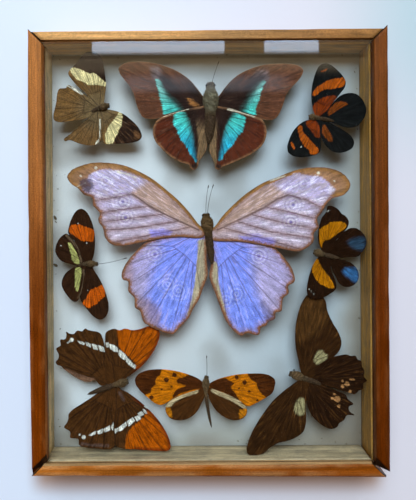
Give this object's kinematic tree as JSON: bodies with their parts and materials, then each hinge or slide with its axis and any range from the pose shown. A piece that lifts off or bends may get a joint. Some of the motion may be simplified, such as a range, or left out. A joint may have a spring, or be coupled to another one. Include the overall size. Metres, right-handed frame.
{
  "type": "glazed wooden display case of set butterflies",
  "caption": "Shallow wooden case with a glass front, in which set tropical butterflies of different kinds are pinned over a pale board.",
  "frame": {"origin": "bottom centre of the case's box as it lies on its back", "axes": "+Z out of the glass, +Y to the top of the case, +X to its right seen from the front"},
  "size_m": [0.1896, 0.2362, 0.028],
  "materials": {
    "stained_wood": "thin orange-brown stain with a satin varnish, rubbed at the edges, bare inside",
    "clear_glass": "clear float glass",
    "pale_board": "fibreboard with a matt pale paper face",
    "brown_board": "bare brown fibreboard",
    "wings_large_blue": "satin lilac and violet-blue scales, brown rims",
    "wings_turquoise_band": "matt brown scales with a glossy turquoise band",
    "wings_yellow_band": "matt brown scales with a pale yellow band",
    "wings_orange_stripe": "matt black scales with orange stripes",
    "wings_red_patch": "matt dark brown scales with red-orange patches and yellow bars",
    "wings_blue_spot": "matt dark brown scales with orange patches and glossy blue spots",
    "wings_white_bar": "matt brown scales, broken white bar, orange tips",
    "wings_amber": "matt amber and brown scales with cream edges",
    "wings_dark_swallowtail": "matt dark brown scales with cream patches"
  },
  "bodies": {
    "root": {"stile_left": "stained_wood", "stile_right": "stained_wood", "rail_top": "stained_wood", "rail_bottom": "stained_wood", "front_glass": "clear_glass", "mounting_board": "pale_board", "back_panel": "brown_board", "butterfly_large_blue": "wings_large_blue", "butterfly_turquoise_band": "wings_turquoise_band", "butterfly_yellow_band": "wings_yellow_band", "butterfly_orange_stripe": "wings_orange_stripe", "butterfly_red_patch": "wings_red_patch", "butterfly_blue_spot": "wings_blue_spot", "butterfly_white_bar": "wings_white_bar", "butterfly_amber": "wings_amber", "butterfly_dark_swallowtail": "wings_dark_swallowtail"}
  },
  "joints": []
}
